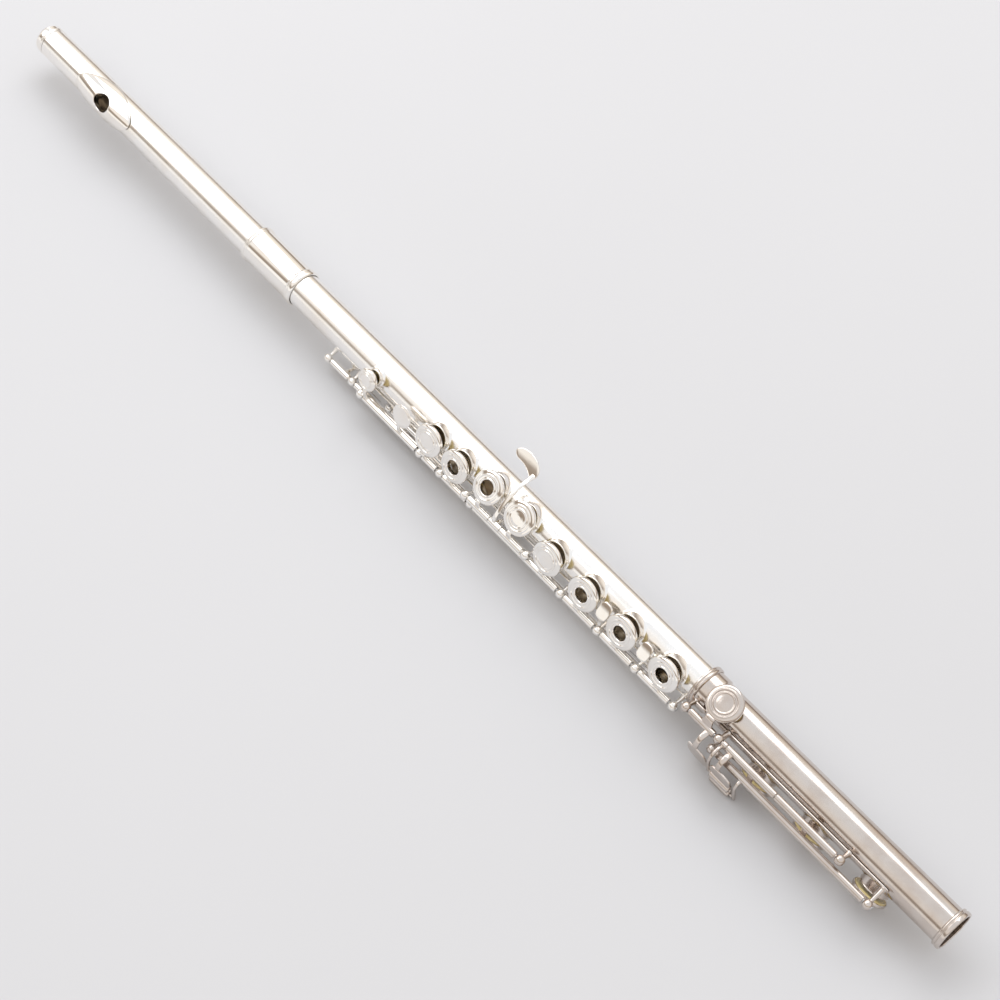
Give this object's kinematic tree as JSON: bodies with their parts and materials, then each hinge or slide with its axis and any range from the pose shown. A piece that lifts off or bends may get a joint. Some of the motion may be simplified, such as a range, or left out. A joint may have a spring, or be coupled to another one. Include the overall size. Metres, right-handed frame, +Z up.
{
  "type": "concert flute",
  "caption": "Silver-plated transverse concert flute with head, body and B foot joints, offset G, ring keys, sprung key cups and pads, lying on its side.",
  "frame": {"origin": "bottom centre of the bounding box, on the surface the flute rests on", "axes": "+X along the tube from the crown to the foot, +Y away from the player's side (the hinge rods are on -Y), +Z up in the resting roll with the key cups turned 62 degrees from vertical toward -Y"},
  "size_m": [0.7116, 0.0438, 0.0447],
  "materials": {
    "silver": "polished silver plate on the tubes and ribs",
    "bright": "bright polished silver plate on keys, rings, lip plate and crown",
    "steel": "ground steel",
    "pad": "felt pad under a yellow skin",
    "cork": "cork"
  },
  "bodies": {
    "body_joint": {"body_tube": "silver", "barrel": "bright", "main_rib": "silver", "back_rib": "silver", "steel_upper_stack": "steel", "steel_lower_stack": "steel", "steel_thumb": "steel"},
    "head_joint": {"head_tube": "silver", "lip_plate": "bright", "lip_riser": "silver"},
    "crown_cap": {"crown": "bright"},
    "stopper": {"stopper_screw": "silver", "stopper_cork": "cork", "stopper_nut": "steel"},
    "foot_joint": {"foot_tube": "silver", "foot_receiver_ring": "bright", "foot_bell_ring": "bright", "foot_rib": "silver", "steel_d_sharp": "steel", "steel_low_b": "steel"},
    "c_sharp_assy": {"c_sharp_key": "bright", "pad_c_sharp": "pad"},
    "thumb_assy": {"thumb_key": "bright", "pad_thumb": "pad"},
    "b_flat_lever_assy": {"b_flat_lever": "bright"},
    "b_flat_assy": {"b_flat_key": "bright", "pad_b_flat": "pad"},
    "a_assy": {"a_key": "bright", "pad_a": "pad"},
    "g_assy": {"g_key": "bright", "pad_g_upper": "pad", "pad_g_lower": "pad"},
    "g_sharp_assy": {"g_sharp_key": "bright", "pad_g_sharp": "pad"},
    "f_sharp_assy": {"f_sharp_key": "bright", "pad_f_sharp": "pad"},
    "f_assy": {"f_key": "bright", "pad_f": "pad"},
    "e_assy": {"e_key": "bright", "pad_e": "pad"},
    "d_assy": {"d_key": "bright", "pad_d": "pad"},
    "d_trill_assy": {"d_trill_key": "bright", "pad_d_trill": "pad"},
    "d_sharp_trill_assy": {"d_sharp_trill_key": "bright", "pad_d_sharp_trill": "pad"},
    "d_sharp_assy": {"d_sharp_key": "bright", "pad_d_sharp": "pad"},
    "low_c_sharp_assy": {"low_c_sharp_key": "bright", "pad_low_c_sharp": "pad"},
    "low_c_assy": {"low_c_key": "bright", "pad_low_c": "pad"},
    "low_b_assy": {"low_b_key": "bright", "pad_low_b": "pad"},
    "c_roller": {"low_c_roller": "bright"},
    "b_roller": {"low_b_roller": "bright"}
  },
  "joints": [
    {"name": "head_slide", "type": "slide", "parent": "body_joint", "child": "head_joint", "axis": [1, 0, 0], "range_m": [-0.034, 0]},
    {"name": "crown_turn", "type": "hinge", "parent": "head_joint", "child": "crown_cap", "pos_m": [-0.3518, 0.00545, 0.02133], "axis": [1, 0, 0], "range_deg": [0, 720]},
    {"name": "stopper_slide", "type": "slide", "parent": "head_joint", "child": "stopper", "axis": [1, 0, 0], "range_m": [0, 0.00141]},
    {"name": "foot_turn", "type": "hinge", "parent": "body_joint", "child": "foot_joint", "pos_m": [0.1972, 0.00545, 0.02133], "axis": [1, 0, 0], "range_deg": [-15, 15]},
    {"name": "c_sharp_hinge", "type": "hinge", "parent": "body_joint", "child": "c_sharp_assy", "pos_m": [-0.0218, -0.01102, 0.01423], "axis": [1, 0, 0], "range_deg": [-10, 0], "stiffness_Nm_per_rad": 0.014, "springref_deg": 28.65},
    {"name": "b_flat_hinge", "type": "hinge", "parent": "body_joint", "child": "b_flat_assy", "pos_m": [0.0102, -0.01102, 0.01423], "axis": [1, 0, 0], "range_deg": [-10, 0], "stiffness_Nm_per_rad": 0.014, "springref_deg": 28.65},
    {"name": "a_hinge", "type": "hinge", "parent": "body_joint", "child": "a_assy", "pos_m": [0.0302, -0.01102, 0.01423], "axis": [1, 0, 0], "range_deg": [-10, 0], "stiffness_Nm_per_rad": 0.016, "springref_deg": 28.65},
    {"name": "g_hinge", "type": "hinge", "parent": "body_joint", "child": "g_assy", "pos_m": [0.0618, -0.0124, 0.01967], "axis": [1, 0, 0], "range_deg": [-10, 0], "stiffness_Nm_per_rad": 0.018, "springref_deg": 28.65},
    {"name": "g_sharp_hinge", "type": "hinge", "parent": "body_joint", "child": "g_sharp_assy", "pos_m": [0.0617, -0.0124, 0.01967], "axis": [1, 0, 0], "range_deg": [-7, 0], "stiffness_Nm_per_rad": 0.024, "springref_deg": 28.65},
    {"name": "f_sharp_hinge", "type": "hinge", "parent": "body_joint", "child": "f_sharp_assy", "pos_m": [0.0762, -0.01102, 0.01423], "axis": [1, 0, 0], "range_deg": [-10, 0], "stiffness_Nm_per_rad": 0.016, "springref_deg": 28.65},
    {"name": "f_hinge", "type": "hinge", "parent": "body_joint", "child": "f_assy", "pos_m": [0.1237, -0.01102, 0.01423], "axis": [1, 0, 0], "range_deg": [-10, 0], "stiffness_Nm_per_rad": 0.016, "springref_deg": 28.65},
    {"name": "e_hinge", "type": "hinge", "parent": "body_joint", "child": "e_assy", "pos_m": [0.1507, -0.01102, 0.01423], "axis": [1, 0, 0], "range_deg": [-10, 0], "stiffness_Nm_per_rad": 0.016, "springref_deg": 28.65},
    {"name": "d_hinge", "type": "hinge", "parent": "body_joint", "child": "d_assy", "pos_m": [0.1774, -0.01102, 0.01423], "axis": [1, 0, 0], "range_deg": [-10, 0], "stiffness_Nm_per_rad": 0.016, "springref_deg": 28.65},
    {"name": "d_trill_hinge", "type": "hinge", "parent": "body_joint", "child": "d_trill_assy", "pos_m": [0.0417, -0.00671, 0.00874], "axis": [1, 0, 0], "range_deg": [-8, 0], "stiffness_Nm_per_rad": 0.018, "springref_deg": 28.65},
    {"name": "d_sharp_trill_hinge", "type": "hinge", "parent": "body_joint", "child": "d_sharp_trill_assy", "pos_m": [0.047, -0.00671, 0.00874], "axis": [1, 0, 0], "range_deg": [-8, 0], "stiffness_Nm_per_rad": 0.018, "springref_deg": 28.65},
    {"name": "thumb_hinge", "type": "hinge", "parent": "body_joint", "child": "thumb_assy", "pos_m": [-0.0198, -0.00017, 0.00402], "axis": [1, 0, 0], "range_deg": [0, 8], "stiffness_Nm_per_rad": 0.024, "springref_deg": -34.38},
    {"name": "b_flat_lever_hinge", "type": "hinge", "parent": "body_joint", "child": "b_flat_lever_assy", "pos_m": [0.0012, -0.00017, 0.00402], "axis": [1, 0, 0], "range_deg": [0, 8], "stiffness_Nm_per_rad": 0.014, "springref_deg": -28.65},
    {"name": "d_sharp_hinge", "type": "hinge", "parent": "foot_joint", "child": "d_sharp_assy", "pos_m": [0.2092, -0.01197, 0.02557], "axis": [1, 0, 0], "range_deg": [0, 8], "stiffness_Nm_per_rad": 0.022, "springref_deg": -28.65},
    {"name": "low_c_sharp_hinge", "type": "hinge", "parent": "foot_joint", "child": "low_c_sharp_assy", "pos_m": [0.2422, -0.01197, 0.02557], "axis": [1, 0, 0], "range_deg": [0, 8], "stiffness_Nm_per_rad": 0.022, "springref_deg": -28.65},
    {"name": "low_c_hinge", "type": "hinge", "parent": "foot_joint", "child": "low_c_assy", "pos_m": [0.261, -0.01197, 0.02557], "axis": [1, 0, 0], "range_deg": [0, 8], "stiffness_Nm_per_rad": 0.024, "springref_deg": -28.65},
    {"name": "low_b_hinge", "type": "hinge", "parent": "foot_joint", "child": "low_b_assy", "pos_m": [0.2707, -0.01497, 0.01954], "axis": [1, 0, 0], "range_deg": [0, 8], "stiffness_Nm_per_rad": 0.024, "springref_deg": -34.38},
    {"name": "c_roller_spin", "type": "hinge", "parent": "low_c_assy", "child": "c_roller", "pos_m": [0.232, -0.01858, 0.00858], "axis": [1, 0, 0], "continuous": true},
    {"name": "b_roller_spin", "type": "hinge", "parent": "low_b_assy", "child": "b_roller", "pos_m": [0.232, -0.01683, 0.00217], "axis": [1, 0, 0], "continuous": true}
  ],
  "couplings": [
    {"joint": "stopper_slide", "follows": "crown_turn", "m_per_rad": 0.00011141},
    {"joint": "b_flat_hinge", "follows": "a_hinge", "ratio": 1},
    {"joint": "f_sharp_hinge", "follows": "f_hinge", "ratio": 1}
  ]
}
